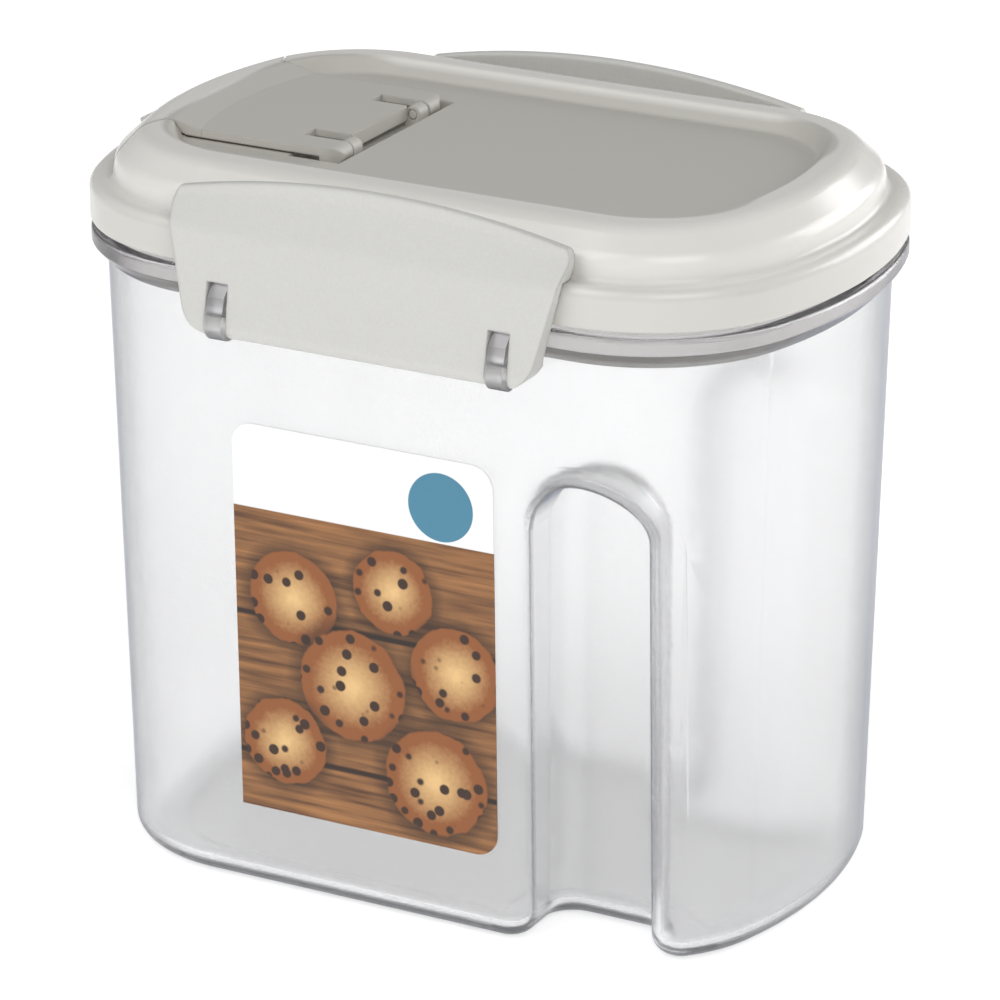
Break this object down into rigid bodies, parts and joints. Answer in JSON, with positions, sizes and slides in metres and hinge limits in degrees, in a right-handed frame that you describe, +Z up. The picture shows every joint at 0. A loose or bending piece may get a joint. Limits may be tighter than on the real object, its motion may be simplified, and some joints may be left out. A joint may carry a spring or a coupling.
{
  "type": "food storage box",
  "caption": "Clear oblong food storage box with finger grips, an off-white sealed lid with a hinged flip-top pour cap, and locking clips hinged on its long sides.",
  "frame": {"origin": "on the table, at the centre of the box's base", "axes": "+Z up from the table, +X along the length away from the pour end, -Y towards the labelled front"},
  "size_m": [0.118, 0.0874, 0.1113],
  "materials": {
    "clear_polypropylene": "clear, smooth",
    "label_film": "printed film, satin",
    "lid_polypropylene": "off-white, gloss",
    "silicone": "off-white, dull",
    "clip_polypropylene": "off-white, fine grain"
  },
  "bodies": {
    "box": {"container": "clear_polypropylene", "label": "label_film", "lid": "lid_polypropylene", "lid_seal": "silicone"},
    "front_clip": {"front_clip": "clip_polypropylene"},
    "rear_clip": {"rear_clip": "clip_polypropylene"},
    "pour_cap": {"pour_cap": "lid_polypropylene", "pour_cap_seal": "silicone"}
  },
  "joints": [
    {"name": "front_clip_hinge", "type": "hinge", "parent": "box", "child": "front_clip", "pos_m": [0, -0.0411, 0.0899], "axis": [1, 0, 0], "range_deg": [0, 160]},
    {"name": "rear_clip_hinge", "type": "hinge", "parent": "box", "child": "rear_clip", "pos_m": [0, 0.0411, 0.0899], "axis": [-1, 0, 0], "range_deg": [0, 160]},
    {"name": "pour_cap_hinge", "type": "hinge", "parent": "box", "child": "pour_cap", "pos_m": [-0.019, 0, 0.1076], "axis": [0, 1, 0], "range_deg": [0, 110]}
  ]
}
